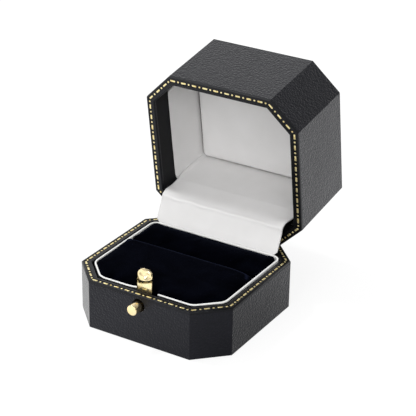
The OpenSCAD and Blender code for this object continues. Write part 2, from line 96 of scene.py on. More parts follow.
def embossed(material, shader, height, strength, depth, under=None, invert=False):
    """Relief of a depth in metres, laid over another relief if one is given."""
    inputs = {"Height": height, "Strength": strength, "Distance": depth}
    if under:
        inputs["Normal"] = under
    relief = add(material, "Bump", inputs, invert=invert)
    join(material, relief.outputs[0], shader, "Normal")


def paint(material, *nodes):
    """Gives CAD nodes that stay in view their material."""
    for node in nodes:
        frame["nodes"][node].material_slots[0].material = material


# Sawn pine coloured near black, painted shade for the gaps where it shows: year rings about 2 mm apart,
# drawn out along the board, over short fibres.
pine, shader, place = surfaced("pine_black_painted_shade", {"Roughness": 0.75})
along = add(pine, "Mapping", {"Vector": place, "Scale": (1, 12, 12)})
rings = add(pine, "TexNoise", {"Vector": along.outputs[0], "Scale": 40, "Detail": 4})
fibres = add(pine, "TexNoise", {"Vector": along.outputs[0], "Scale": 260, "Detail": 3})
# Near-black pine tones: painted shade for the gaps beside the linings and round the button.
tinted(pine, shader, rings.outputs[0], "#141110", "#2a2420")
embossed(pine, shader, fibres.outputs[0], 0.4, 0.0001)
paint(pine, "base_shell", "lid_shell")


# Black card under the base, die-cut and glued on, on which the box stands.
# Matt and slightly fibrous; only its edge can be seen in the shadow gap.
card, shader, place = surfaced("black_card", {"Roughness": 0.85})
flecks = add(card, "TexNoise", {"Vector": place, "Scale": 1500, "Detail": 3})
tinted(card, shader, flecks.outputs[0], "#121214", "#242428")
embossed(card, shader, flecks.outputs[0], 0.3, 0.00003)
paint(card, "foot_pad")


# Leatherette wraps of the base and the lid. Black grained PVC-coated paper, cut to size, folded round the
# wood and turned in, so every corner is tight but not sharp. Lengths are in millimetres and in the shut lid;
# what lies nearer than near counts as touching, and sharp is an angle in radians.
MM, near = 0.001, 0.01
box_w, box_d, corner_cut = 55, 54.2, 9.3
base_h, split_gap = 16.6, 0.2
lid_z = base_h + split_gap
wrap_edge_r, sharp = 0.45, 0.35
swing = frame["joints"][0]
hinge = Vector(swing["pos_m"]) / MM
lid_turn = Matrix.Rotation(-math.radians(swing["range_deg"][1]), 4, "X")
opening = Matrix.Translation(hinge) @ lid_turn @ Matrix.Translation(-hinge)


def inset_of(x, y):
    """How far a point lies inside the box's eight outside faces."""
    x, y = abs(x), abs(y)
    cut = (box_w / 2 + box_d / 2 - corner_cut - x - y) / math.sqrt(2)
    return min(box_w / 2 - x, box_d / 2 - y, cut)


def on_outside(p):
    """Whether a point lies on one of the box's outside faces."""
    return inset_of(p.x, p.y) < near


def copy_of(node, in_lid):
    """A CAD node's solid in millimetres, with its triangles merged to whole faces and the lid shut."""
    bm = bmesh.new()
    bm.from_mesh(frame["nodes"][node].data)
    bmesh.ops.scale(bm, vec=(1 / MM,) * 3, verts=bm.verts)
    bmesh.ops.remove_doubles(bm, verts=bm.verts, dist=0.002)
    bmesh.ops.dissolve_limit(bm, angle_limit=math.radians(0.5), verts=bm.verts, edges=bm.edges)
    if in_lid:
        bm.transform(opening.inverted())
    for face in bm.faces:
        face.smooth = False
    return bm


def soften(bm, radius, chosen, steps=4):
    """Rounds the sharp edges whose two ends are chosen, and shades the roundings smooth."""
    edges = [e for e in bm.edges if len(e.link_faces) == 2 and e.calc_face_angle() > sharp
             and all(chosen(v.co) for v in e.verts)]
    made = bmesh.ops.bevel(bm, geom=edges, offset=radius, offset_type="OFFSET", segments=steps, profile=0.5,
                           affect="EDGES", clamp_overlap=True, material=-1)
    for face in made["faces"]:
        face.smooth = True
    return made["faces"]


def piece(bm, name):
    """Makes a mesh in millimetres an object at the origin, in metres."""
    mesh = bpy.data.meshes.new(name)
    bm.to_mesh(mesh)
    bm.free()
    obj = bpy.data.objects.new(name, mesh)
    bpy.context.scene.collection.objects.link(obj)
    mesh.transform(Matrix.Scale(MM, 4))
    return obj


def turn_open(obj):
    """Turns a piece of the lid from shut to open, as it stands in the photograph."""
    obj.data.transform(Matrix.Scale(MM, 4) @ opening @ Matrix.Scale(1 / MM, 4))
    return obj


def dress(obj, material, slot, body, *stands_for):
    """Gives a piece its material, and its body in place of the CAD nodes it stands for; the slot is not used.
    """
    obj.data.materials.clear()
    obj.data.materials.append(material)
    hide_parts(*stands_for)
    if body:
        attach(obj, body)


def glossed(material, shader, share, smooth, rough):
    """Roughness that runs from smooth to rough as the share goes from 0 to 1."""
    gloss = add(material, "MapRange", {"Value": share, "To Min": smooth, "To Max": rough})
    join(material, gloss.outputs[0], shader, "Roughness")


def leather(name, low, high, roughness, grain, gloss, bloom):
    """Leatherette between two colours: pebbles of 0.5 mm run together into crinkles, over fine pores."""
    made, shader, place = surfaced(name, {"Specular IOR Level": gloss, "Specular Tint": colour("#eceffb"),
                                          "Sheen Weight": bloom, "Sheen Roughness": 0.3})
    pull = add(made, "TexNoise", {"Vector": place, "Scale": 520, "Detail": 2})
    pulled = add(made, "VectorMath", {0: pull.outputs["Color"], 1: (0.0008,) * 3, 2: place},
                 operation="MULTIPLY_ADD")
    pebbles = add(made, "TexVoronoi", {"Vector": pulled.outputs[0], "Scale": 1 / 0.0006, "Smoothness": 0.5},
                  feature="SMOOTH_F1")
    pores = add(made, "TexNoise", {"Vector": place, "Scale": 3600, "Detail": 3})
    broad = add(made, "TexNoise", {"Vector": place, "Scale": 75, "Detail": 3})
    crinkles = add(made, "TexNoise", {"Vector": place, "Scale": 1 / 0.0007, "Detail": 2})
    height = add(made, "Math", {0: pores.outputs[0], 1: 0.35, 2: pebbles.outputs["Distance"]},
                 operation="MULTIPLY_ADD")
    height = add(made, "Math", {0: crinkles.outputs[0], 1: 0.7, 2: height.outputs[0]},
                 operation="MULTIPLY_ADD")
    spread = add(made, "Math", {0: broad.outputs[0], 1: 0.6, 2: pebbles.outputs["Distance"]},
                 operation="MULTIPLY_ADD")
    share = add(made, "MapRange", {"Value": spread.outputs[0], "From Min": 0.3, "From Max": 1.1})
    tinted(made, shader, share.outputs[0], high, low)
    glossed(made, shader, share.outputs[0], roughness - 0.05, roughness + 0.08)
    embossed(made, shader, height.outputs[0], grain, 0.0002, invert=True)
    return made


# Black leatherette, embossed with a fine morocco grain under a satin lacquer: broad soft highlights
# broken up by the pebbles, and a pale sheen where it is seen at a flat angle.
leatherette = leather("leatherette_morocco", "#07070c", "#0f0f16", 0.34, 0.6, 0.3, 0.6)
for half, in_lid in (("base", False), ("lid", True)):
    wrap = copy_of(half + "_cover", in_lid)
    soften(wrap, wrap_edge_r, on_outside)
    wrap = piece(wrap, half + "_leatherette")
    dress(turn_open(wrap) if in_lid else wrap, leatherette, "leatherette", half, half + "_cover")


# Rim boards of the base and the lid. Card covered in the same leatherette with a rounded edge, glued on the
# walls; the channel for the gold is pressed into it with a hot wheel, which leaves it darker and smoother.
channel_depth, channel_w, tooling_inset = 0.12, 1.15, 1.25
rim_edge_r, rim_inner_r, rim_w = 0.45, 0.7, 3

# The same leatherette in three states: drawn tight on the board, with little grain; pressed into the channel,
# the deepest black; and lighter grey along the outer edge, a painted highlight that draws a fine light line
# there.
edging = leather("leatherette_drawn_tight", "#060607", "#0b0b0d", 0.36, 0.2, 0.28, 0)
pressed = leather("leatherette_pressed", "#020202", "#050506", 0.45, 0.1, 0.15, 0)
edge_highlight_leather = leather("leatherette_painted_edge_highlight", "#1e1e20", "#464648", 0.4, 0.6, 0.4, 0.3)
in_pressed, in_edge_highlight = 1, 2
for half, in_lid, face_z, inward in (("base", False, base_h, -1), ("lid", True, lid_z, 1)):
    rim = copy_of(half + "_rim", in_lid)
    # The outer top rounding takes the lighter grey leatherette: a painted edge highlight.
    for face in soften(rim, rim_edge_r, lambda p: on_outside(p) and abs(p.z - face_z) < near):
        face.material_index = in_edge_highlight
    soften(rim, rim_edge_r / 2, on_outside)
    soften(rim, rim_inner_r,
           lambda p: abs(inset_of(p.x, p.y) - rim_w) < near and abs(p.z - face_z) < near)
    for face in rim.faces:
        middle = face.calc_center_median()
        floor = abs(middle.z - face_z - inward * channel_depth) < near
        if floor and abs(inset_of(middle.x, middle.y) - tooling_inset) < channel_w / 2:
            face.material_index = in_pressed
    board = piece(rim, half + "_rim_board")
    dress(turn_open(board) if in_lid else board, edging, "leatherette", half, half + "_rim")
    board.data.materials.append(pressed)
    board.data.materials.append(edge_highlight_leather)


# Gold tooling on both rims. Metal foil stamped through a heated wheel into a dash and dot line, so each mark
# is a flat cushion of gold with soft ends, slightly uneven from one to the next.
dash_l, dash_w, dash_end_r, dot_d, dot_end_r, foil_t = 1.75, 0.62, 0.22, 0.6, 0.2, 0.06
tooling_pitch, hinge_side, skew = 3.95, 3, 0.03
corner_of = [(1, -1, 1, 0), (1, -1, 0, 1), (1, 1, 0, -1), (1, 1, 1, 0), (-1, 1, -1, 0), (-1, 1, 0, -1),
             (-1, -1, 0, 1), (-1, -1, -1, 0)]


def octagon(inset):
    """The eight corners at a distance inside the outside faces, from the front right round to the left."""
    w, d = box_w / 2 - inset, box_d / 2 - inset
    k = corner_cut - inset * (2 - math.sqrt(2))
    return [Vector((sx * w - cx * k, sy * d + cy * k)) for sx, sy, cx, cy in corner_of]


def mark(length, width, round_end):
    """One foil mark lying along X: a rounded bar whose top is crowned."""
    bm = bmesh.new()
    bmesh.ops.create_cube(bm, size=1)
    bmesh.ops.scale(bm, vec=(length, width, foil_t), verts=bm.verts)
    upright = [e for e in bm.edges if abs(e.verts[0].co.z - e.verts[1].co.z) > foil_t / 2]
    bmesh.ops.bevel(bm, geom=upright, offset=round_end, segments=3, profile=0.5, affect="EDGES", material=-1)
    top = max(bm.faces, key=lambda f: f.calc_center_median().z)
    bmesh.ops.inset_region(bm, faces=[top], thickness=width / 5, depth=foil_t / 3)
    for face in bm.faces:
        face.smooth = abs(face.normal.z) > 0.1
    mesh = bpy.data.meshes.new("mark")
    bm.to_mesh(mesh)
    bm.free()
    return mesh


# Gold foil: a pale warm metal, worn thin and redder in patches, with a soft shine.
gold, shader, place = surfaced("gold_foil_stamped", {"Metallic": 0.75})
wear_and_lip_highlight = add(gold, "TexNoise", {"Vector": place, "Scale": 1400, "Detail": 3})
thin = add(gold, "MapRange", {"Value": wear_and_lip_highlight.outputs[0], "From Min": 0.5, "From Max": 0.75})
tinted(gold, shader, thin.outputs[0], "#fdeeb4", "#dcb85e")
glossed(gold, shader, wear_and_lip_highlight.outputs[0], 0.25, 0.5)
embossed(gold, shader, wear_and_lip_highlight.outputs[0], 0.4, 0.00004)
dash, dot = mark(dash_l, dash_w, dash_end_r), mark(dot_d, dot_d, dot_end_r)
hand = random.Random(4)
line = octagon(tooling_inset)
for half, in_lid, floor_z, up in (("base", False, base_h - channel_depth, 1),
                                  ("lid", True, lid_z + channel_depth, -1)):
    tooling = bmesh.new()
    for side in (s for s in range(8) if s != hinge_side):
        start, run = line[side], line[(side + 1) % 8] - line[side]
        count = max(1, round(run.length / tooling_pitch))
        for i in range(2 * count):
            at = start + run * (i + 0.5) / (2 * count)
            if at.y > hinge.y - dash_l / 2:
                continue
            first = len(tooling.verts)
            tooling.from_mesh(dot if i % 2 else dash)
            tooling.verts.ensure_lookup_table()
            stamp = (Matrix.Translation((at.x, at.y, floor_z + up * foil_t / 2))
                     @ Matrix.Rotation(math.atan2(run.y, run.x) + hand.uniform(-skew, skew), 4, "Z")
                     @ Matrix.Diagonal((hand.uniform(0.9, 1.04), hand.uniform(0.9, 1.06), up, 1)))
            bmesh.ops.transform(tooling, matrix=stamp, verts=tooling.verts[first:])
    if in_lid:
        bmesh.ops.reverse_faces(tooling, faces=tooling.faces)
    tooling = piece(tooling, half + "_gold_tooling")
    dress(turn_open(tooling) if in_lid else tooling, gold, "gold", half, half + "_tooling")
for mesh in (dash, dot):
    bpy.data.meshes.remove(mesh)


# Black linings of the walls. Smooth flocked paper glued to the wood, down to the floor in the base and as a
# band behind the rim in the lid. It drinks the light and turns grey only at a flat angle.
lining, shader, place = surfaced("flocked_paper", {
    "Roughness": 0.8, "Sheen Weight": 0.04, "Sheen Roughness": 0.4, "Specular IOR Level": 0.25})
cloudy = add(lining, "TexNoise", {"Vector": place, "Scale": 160, "Detail": 3})
tinted(lining, shader, cloudy.outputs[0], "#060608", "#0e0e12")
flock = add(lining, "TexNoise", {"Vector": place, "Scale": 4200, "Detail": 2})
embossed(lining, shader, flock.outputs[0], 0.4, 0.00004)
paint(lining, "base_lining", "lid_lining")


# White collar round the cushions. A strip of card, lined with white satin ribbon that is turned over its top
# edge; below the ribbon its outer face is black, painted shade for the narrow gap behind the rim. It is bent
# at the corners and notched at the latch, where its left end has sprung up a little.
collar_inset, collar_t, collar_low, collar_top, collar_rear, front_shift = 3.5, 0.55, 2.5, 16.75, 18.1, 0.25
collar_front_r, collar_rear_r, collar_edge_r, ribbon_z, corner_steps = 1.6, 2.6, 0.22, 16, 8
notch_left, notch_right = 3, 4.4
latch_room, latch_room_top = 3.8, 5.75
before_box, behind_wall, above_box = -30, -20, 20
sprung_from, sprung_l, sprung_up, sprung_back = -9, 6, 0.35, 0.1
sprung_cuts = sprung_from, -7, -5.6, -4.6, -3.9, -3.4
upper_part, waviness, wave_rate, wave_low = 10, 0.08, 0.4, 0.6
collar_middle, facing_out = Vector((0, -4, 0)), 5


def shaped(obj, kind, **settings):
    """Adds a modifier with its settings and makes what it shows the piece's mesh."""
    modifier = obj.modifiers.new(kind, kind)
    for key, value in settings.items():
        setattr(modifier, key, value)
    bpy.context.view_layer.update()
    old = obj.data
    mesh = bpy.data.meshes.new_from_object(obj.evaluated_get(bpy.context.evaluated_depsgraph_get()))
    obj.modifiers.clear()
    obj.data = mesh
    mesh.name = obj.name
    bpy.data.meshes.remove(old)


def rounded(obj, radius, steps=4, angle=50):
    """Rounds a piece's edges that are sharper than an angle in degrees."""
    shaped(obj, "BEVEL", width=radius * MM, segments=steps, limit_method="ANGLE",
           angle_limit=math.radians(angle))


def cut_box(obj, low, high):
    """Cuts a box away from a piece, given by its lowest and highest corner in millimetres."""
    bm = bmesh.new()
    bmesh.ops.create_cube(bm, size=1)
    bmesh.ops.scale(bm, vec=[b - a for a, b in zip(low, high)], verts=bm.verts)
    bmesh.ops.translate(bm, vec=[(a + b) / 2 for a, b in zip(low, high)], verts=bm.verts)
    cutter = piece(bm, "cutter")
    shaped(obj, "BOOLEAN", operation="DIFFERENCE", solver="EXACT", object=cutter)
    bpy.data.objects.remove(cutter)


def round_corners(bm, picked, radius):
    """Rounds the corners of a flat face that are picked."""
    bmesh.ops.bevel(bm, geom=[v for v in bm.verts if picked(v)], offset=radius, segments=corner_steps,
                    profile=0.5, affect="VERTICES", material=-1)


def cut_across(bm, point, normal, clear_outer=False):
    """Cuts a mesh along a plane, and drops what lies beyond it if asked to."""
    bmesh.ops.bisect_plane(bm, geom=bm.verts[:] + bm.edges[:] + bm.faces[:], plane_co=point, plane_no=normal,
                           clear_outer=clear_outer)


def tray_outline(bm, inset, rear, front_round, rear_round, z):
    """Flat face with the octagon's front, a straight rear side and round corners."""
    w = box_w / 2 - inset
    front = octagon(inset)
    points = [front[7], front[0], front[1], Vector((w, rear)), Vector((-w, rear)), front[6]]
    face = bm.faces.new([bm.verts.new((p.x, p.y, z)) for p in points])
    round_corners(bm, lambda v: v.co.y < 0, front_round)
    round_corners(bm, lambda v: v.co.y > rear - near, rear_round)
    return bm.faces[:]


# White satin ribbon: the brightest line of the box, matt and very slightly soiled.
ribbon, shader, place = surfaced("satin_ribbon_white", {"Roughness": 0.5, "Sheen Weight": 0.15,
                                                        "Sheen Roughness": 0.5})
soil = add(ribbon, "TexNoise", {"Vector": place, "Scale": 220, "Detail": 3})
tinted(ribbon, shader, soil.outputs[0], "#fdfdfc", "#f3f3f0")
threads = add(ribbon, "TexNoise", {"Vector": place, "Scale": 2600, "Detail": 2})
embossed(ribbon, shader, threads.outputs[0], 0.25, 0.00004)

wall = bmesh.new()
outline = tray_outline(wall, collar_inset, collar_rear, collar_front_r, collar_rear_r, collar_low)
rise = bmesh.ops.extrude_face_region(wall, geom=outline)
top = [v for v in rise["geom"] if isinstance(v, bmesh.types.BMVert)]
bmesh.ops.translate(wall, vec=(0, 0, collar_top - collar_low), verts=top)
caps = [f for f in wall.faces if abs(f.normal.z) > 0.9 or len(f.verts) > 4]
bmesh.ops.delete(wall, geom=caps, context="FACES_ONLY")
bmesh.ops.translate(wall, vec=(0, front_shift, 0), verts=[v for v in wall.verts if v.co.y < 0])
for x in sprung_cuts:
    cut_across(wall, (x, 0, 0), (1, 0, 0))
ribbon_edge, turned_over = Vector((0, 0, ribbon_z)), Vector((0, 0.02, 1)).normalized()
cut_across(wall, ribbon_edge, turned_over)
bmesh.ops.recalc_face_normals(wall, faces=wall.faces)
collar = piece(wall, "collar_ribbon")
shaped(collar, "SOLIDIFY", thickness=collar_t * MM, offset=-1, use_even_offset=True)
cut_box(collar, (-notch_left, before_box, 0), (notch_right, behind_wall, above_box))
cut_box(collar, (-latch_room, before_box, 0), (latch_room, behind_wall, latch_room_top))
for v in collar.data.vertices:
    x, y, z = v.co / MM
    if y < 0 and sprung_from < x < 0 and z > upper_part:
        lift = max(0, (x - sprung_from) / sprung_l) ** 3
        v.co += Vector((0, sprung_back * lift, sprung_up * lift)) * MM
    if z > upper_part:
        v.co.z += waviness * MM * (noise.noise(Vector((x, y, 0)) * wave_rate) - wave_low)
rounded(collar, collar_edge_r)
dress(collar, ribbon, "white_card", "base", "collar")
collar.data.materials.append(card)
# Outer faces below the ribbon's edge take the black card: painted shade for the gap between collar and rim.
for face in collar.data.polygons:
    face.use_smooth = True
    at = face.center / MM
    outward = face.normal.dot(Vector((at.x, at.y, 0)) - collar_middle) > facing_out
    if outward and turned_over.dot(at - ribbon_edge) < 0:
        face.material_index = 1


# Two velvet cushions that hold the ring between them. Foam blocks wrapped in short-pile cotton velvet, filled
# by a cloth simulation and held by the collar: the front one rises to a rolled rear edge, the rear one slopes
# down into the slot.
soft_clear, cushion_low = 0.12, 2.62
slot_front, slot_rear, cushion_rear, cushion_corner_r = 2.8, 3.6, 17.28, 2.2
cushion_in, collar_clear, collar_clear_rear, collar_clear_r = 4.2, 4.1, cushion_rear + 0.2, 2.4
cushion_front, brim = cushion_in - box_d / 2, collar_top + 0.24
seam_r, front_r, lip_r, rear_r = 0.35, 0.6, 1.5, 0.8
climb_h, crown_h, lip_h, lip_in, lip_w = 0.55, 0.3, 0.16, 1.4, 0.8
sag_right, sag_left, sag_l = 1.3, 0.1, 7
slope_h, slope_l, rear_rise, rear_droop = 2.4, 9, 0.25, 0.05
lump_h, lump_rate, grid_cuts = 0.1, 0.16, 47
velvet_notch_right, velvet_notch_rear, latch_room_rear, latch_room_high = 3.7, -21, -18.56, 12.7
velvet_voxel, velvet_cap = 0.6, 0.3
# Painted highlight along the slot's lip: its rounding, distance in, width, lowest height, level, variation,
# rate and fade.
lip_highlight_round, lip_highlight_in, lip_highlight_w, lip_highlight_above = 4, 1.25, 0.42, 14
lip_highlight_level, lip_highlight_vary, lip_highlight_rate, lip_highlight_end = 0.75, 0.5, 0.5, 1.4


def half_width(inset, y, rear, r):
    """Half of the width, at y, inside the octagon's front and a rear side with round corners."""
    w = min(box_w / 2 - inset, box_w / 2 + box_d / 2 - corner_cut - inset * math.sqrt(2) - max(0, -y))
    over = y - rear + r
    return w if over <= 0 else w - r + math.sqrt(max(0, r * r - over * over))


def fall_off(d, r):
    """Height lost at a distance d inside a rounded edge of radius r."""
    e = r - min(max(d, 0), r)
    return r - math.sqrt(r * r - e * e)


def stuffed(front, rear, back, half_at, top_at, cuts):
    """Closed cushion: a cube cut into a grid and drawn out to a half-width and a top that vary."""
    bm = bmesh.new()
    bmesh.ops.create_cube(bm, size=2)
    bmesh.ops.subdivide_edges(bm, edges=bm.edges, cuts=cuts, use_grid_fill=True)
    for v in bm.verts:
        y = front + (rear - front) * (1 + math.sin(v.co.y * math.pi / 2)) / 2
        x = half_at(y) * math.sin(v.co.x * math.pi / 2)
        v.co = (x, y, back + (top_at(x, y) - back) * (v.co.z + 1) / 2)
    for face in bm.faces:
        face.smooth = True
    return bm


def blown_up(obj, voxel, cap, size=20, pressure=4, frames=20):
    """Fills a padded piece as cloth, on a copy some times its size; no point moves further than the cap."""
    mesh = obj.data.copy()
    mesh.transform(Matrix.Scale(size, 4))
    cloth = bpy.data.objects.new("cloth", mesh)
    bpy.context.scene.collection.objects.link(cloth)
    shaped(cloth, "REMESH", mode="VOXEL", voxel_size=voxel * MM * size, use_smooth_shade=True)
    shaped(cloth, "SMOOTH", factor=0.5, iterations=1)
    before = [v.co.copy() for v in cloth.data.vertices]
    fabric = cloth.modifiers.new("CLOTH", "CLOTH")
    fabric.settings.use_pressure = True
    fabric.settings.uniform_pressure_force = pressure
    fabric.settings.effector_weights.gravity = 0
    fabric.point_cache.frame_start, fabric.point_cache.frame_end = 1, frames
    for step in range(1, frames + 1):
        bpy.context.scene.frame_set(step)
    filled = cloth.evaluated_get(bpy.context.evaluated_depsgraph_get()).data
    after = [v.co.copy() for v in filled.vertices]
    cloth.modifiers.clear()
    bpy.context.scene.frame_set(1)
    for v, a, b in zip(cloth.data.vertices, before, after):
        v.co = a + (b - a) * min(1, cap * MM * size / max(1e-9, (b - a).length))
    shaped(cloth, "SUBSURF", levels=1, render_levels=1)
    cloth.data.transform(Matrix.Scale(1 / size, 4))
    old, obj.data = obj.data, cloth.data
    bpy.data.objects.remove(cloth)
    bpy.data.meshes.remove(old)
    obj.data.name = obj.name
    for face in obj.data.polygons:
        face.use_smooth = True


# Cotton velvet: a blue-black that drinks the light, brushed in patches, with a painted highlight: a faint
# blue line along the lip of the slot.
velvet, shader, place = surfaced("velvet_cotton_pile", {
    "Roughness": 0.9, "Specular IOR Level": 0.0, "Sheen Weight": 0.06, "Sheen Roughness": 0.35,
    "Sheen Tint": colour("#a6b0d8")})
brushed = add(velvet, "TexNoise", {"Vector": place, "Scale": 120, "Detail": 4, "Distortion": 0.6})
lay = add(velvet, "MapRange", {"Value": brushed.outputs[0], "From Min": 0.35, "From Max": 0.7})
dark = add(velvet, "MixRGB", {"Fac": lay.outputs[0], "Color1": colour("#010103"),
                              "Color2": colour("#04050b")})
# Painted highlight: a pale blue mixed into the colour along the lip of the slot.
rubbing_and_lip_highlight = add(velvet, "Attribute", {}, attribute_name="lip_highlight")
tint = add(velvet, "MixRGB", {"Fac": rubbing_and_lip_highlight.outputs["Fac"], "Color1": dark.outputs[0],
                              "Color2": colour("#1d2236")})
join(velvet, tint.outputs[0], shader, "Base Color")
pile = add(velvet, "TexNoise", {"Vector": place, "Scale": 3200, "Detail": 3})
embossed(velvet, shader, pile.outputs[0], 0.8, 0.00012)


def cushion_half(y):
    """Half of a velvet cushion's width at y."""
    return half_width(cushion_in, y, cushion_rear, cushion_corner_r)


def lumps(x, y, seed):
    """Unevenness of the foam under the cloth."""
    return lump_h * noise.noise(Vector((x, y, seed)) * lump_rate)


def front_top(x, y):
    """Height of the front cushion, which climbs to a lip at the slot and sags at the right end of it."""
    half, behind = cushion_half(y), slot_front - y
    side = half - abs(x)
    climb = climb_h * (y - cushion_front) / (slot_front - cushion_front)
    sag = (sag_right if x > 0 else sag_left) * max(0, 1 - side / sag_l) ** 2 * max(0, 1 - behind / sag_l)
    lip = lip_h * math.exp(-((slot_front - lip_in - y) / lip_w) ** 2)
    return (brim + climb + lip + lumps(x, y, 2) + crown_h * (1 - (x / half) ** 4) - fall_off(side, seam_r)
            - fall_off(y - cushion_front, front_r) - fall_off(behind, lip_r) - sag)


def rear_top(x, y):
    """Height of the rear cushion: level along the collar, sloping down into the slot."""
    half = cushion_half(y)
    fall = max(0, 1 - (y - slot_rear) / slope_l) ** 1.6 * (1 - (x / half) ** 10)
    return (brim + rear_rise + lumps(x, y, 5) - slope_h * fall - rear_droop * (x / half) ** 4
            - fall_off(half - abs(x), seam_r) - fall_off(cushion_rear - y, rear_r)
            - fall_off(y - slot_rear, rear_r))


front = stuffed(cushion_front, slot_front, cushion_low, cushion_half, front_top, grid_cuts)
front = piece(front, "velvet_front")
cut_box(front, (-notch_left, before_box, 0), (velvet_notch_right, velvet_notch_rear, above_box))
cut_box(front, (-latch_room, before_box, 0), (latch_room, latch_room_rear, latch_room_high))
rear = stuffed(slot_rear, cushion_rear, cushion_low, cushion_half, rear_top, grid_cuts)
rear = piece(rear, "velvet_rear")
for obj in (front, rear):
    blown_up(obj, velvet_voxel, velvet_cap)
    for v in obj.data.vertices:
        limit = half_width(collar_clear, v.co.y / MM, collar_clear_rear, collar_clear_r) * MM
        v.co.x = max(-limit, min(limit, v.co.x))
# Painted highlight along the rolled lip of the slot, stored per point as a share of the pale blue.
lip_highlight = front.data.attributes.new("lip_highlight", "FLOAT", "POINT")
for v, wear_and_lip_highlight in zip(front.data.vertices, lip_highlight.data):
    x, y, z = v.co / MM
    side, behind = cushion_half(y) - abs(x), slot_front - y
    if z > lip_highlight_above and behind < lip_highlight_round:
        edge = lip_highlight_round - math.hypot(max(0, lip_highlight_round - side), lip_highlight_round - behind)
        streak = lip_highlight_level + lip_highlight_vary * noise.noise(Vector((x, 0, 0)) * lip_highlight_rate)
        fade = min(1, max(0, lip_highlight_end - behind / lip_highlight_round))
        wear_and_lip_highlight.value = streak * math.exp(-((edge - lip_highlight_in) / lip_highlight_w) ** 2) * fade
for obj, node in ((front, "front_cushion"), (rear, "rear_cushion")):
    dress(obj, velvet, "velvet", "base", node)


# Latch: a sprung brass tongue with the push button riveted to it. Stamped from 0.6 mm sheet and polished; the
# top is pressed out to a shell-shaped hook whose lower edge is lanced, and the foot is rolled round its pin.
tongue_w, tongue_t, tongue_y, tongue_tip = 5.3, 0.6, -23.983, 24.1
tongue_lean, head_l, head_round, tip_flat, stem_gap = math.radians(4), 2.7, 2.4, 0.04, 0.02
ledge_z, ledge_curl, hook_reach, dome_power, back_follows, pushed_in = 20, 1.3, 0.72, 0.7, 0.3, -0.1
dent_deep, dent_at, dent_size = 1.0, (1.0, 2.1), (0.85, 0.8)
knock_deep, knock_at, knock_size, merge_to = 0.3, (-1.2, 2.7), (0.6, 0.7), 0.4
roll_y, roll_z, roll_r, rolled_t, rolled_from, rolled_turn, thicken_l = -23.083, 3.55, 0.9, 0.33, -90, 270, 2
button_z, button_edge_r = 13.3, 0.05

# Polished brass, light and warm, with a little tarnish that breaks up what it mirrors.
brass, shader, place = surfaced("brass_polished", {"Metallic": 1.0})
tarnish = add(brass, "TexNoise", {"Vector": place, "Scale": 420, "Detail": 4})
tinted(brass, shader, tarnish.outputs[0], "#fff4d2", "#f0d28c")
glossed(brass, shader, tarnish.outputs[0], 0.12, 0.26)
rubbing_and_lip_highlight = add(brass, "TexNoise", {"Vector": place, "Scale": 900, "Detail": 3})
embossed(brass, shader, rubbing_and_lip_highlight.outputs[0], 0.15, 0.0001)


def ledge_at(across):
    """Height of the hook's lanced edge, which curls up to the right."""
    return ledge_z + ledge_curl * ((1 + across) / 2) ** 2


def hollow(x, up, at, size):
    """1 in the middle of a round hollow, at a place on the hook, falling to 0 around it."""
    return math.exp(-((x - at[0]) / size[0]) ** 2 - ((up - at[1]) / size[1]) ** 2)


def pressed_out(across, x, z):
    """How far the hook stands in front of the tongue, at a share across it and a place on it."""
    ledge = ledge_at(across)
    up = (z - ledge) / (tongue_tip - ledge)
    dome = (1 - across ** 4) * max(0, 1 - up) ** dome_power
    dent = dent_deep * hollow(x, z - ledge_z, dent_at, dent_size)
    knock = knock_deep * hollow(x, z - ledge_z, knock_at, knock_size)
    merged = ((1 - across) / 2) ** 2 * max(0, 1 - up / merge_to)
    return hook_reach * max(pushed_in, dome - dent - knock) * (1 - merged)


foot_rows, stem_rows, head_rows, across_cuts = 12, 14, 22, 21
rows = foot_rows + stem_rows + head_rows
strip = bmesh.new()
bmesh.ops.create_cube(strip, size=2)
for axis, cuts in ((2, rows - 1), (0, across_cuts)):
    run = [e for e in strip.edges if abs(e.verts[0].co[axis] - e.verts[1].co[axis]) > 1]
    bmesh.ops.subdivide_edges(strip, edges=run, cuts=cuts, use_grid_fill=True)
for v in strip.verts:
    row, across, behind = round((v.co.z + 1) / 2 * rows), v.co.x, (v.co.y + 1) / 2
    half = tongue_w / 2
    if row < foot_rows:
        turn = math.radians(rolled_from + rolled_turn * row / foot_rows)
        reach = roll_r - rolled_t * behind
        v.co = (across * half, roll_y + reach * math.cos(turn), roll_z + reach * math.sin(turn))
    else:
        if row < foot_rows + stem_rows:
            z = roll_z + (ledge_at(across) - stem_gap - roll_z) * (row - foot_rows) / (stem_rows - 1)
        else:
            up = (row - foot_rows - stem_rows) / head_rows
            z = ledge_at(across) + (tongue_tip - ledge_at(across)) * math.sin(up * math.pi / 2)
            over = max(0, z - tongue_tip + head_l) / head_l
            half *= max(0, 1 - over ** head_round) ** 0.5 * (1 - tip_flat) + tip_flat
        thick = rolled_t + (tongue_t - rolled_t) * min(1, (z - roll_z) / thicken_l)
        lean = max(0, z - base_h) * math.tan(tongue_lean)
        out = pressed_out(across, across * half, z) if row >= foot_rows + stem_rows else 0
        v.co = (across * half, tongue_y + lean + thick * behind - out * (1 - back_follows * behind), z)
for face in strip.faces:
    face.smooth = True
bmesh.ops.recalc_face_normals(strip, faces=strip.faces)
tongue = piece(strip, "latch_tongue_brass")
dress(tongue, brass, "brass", "latch", "latch_tongue")

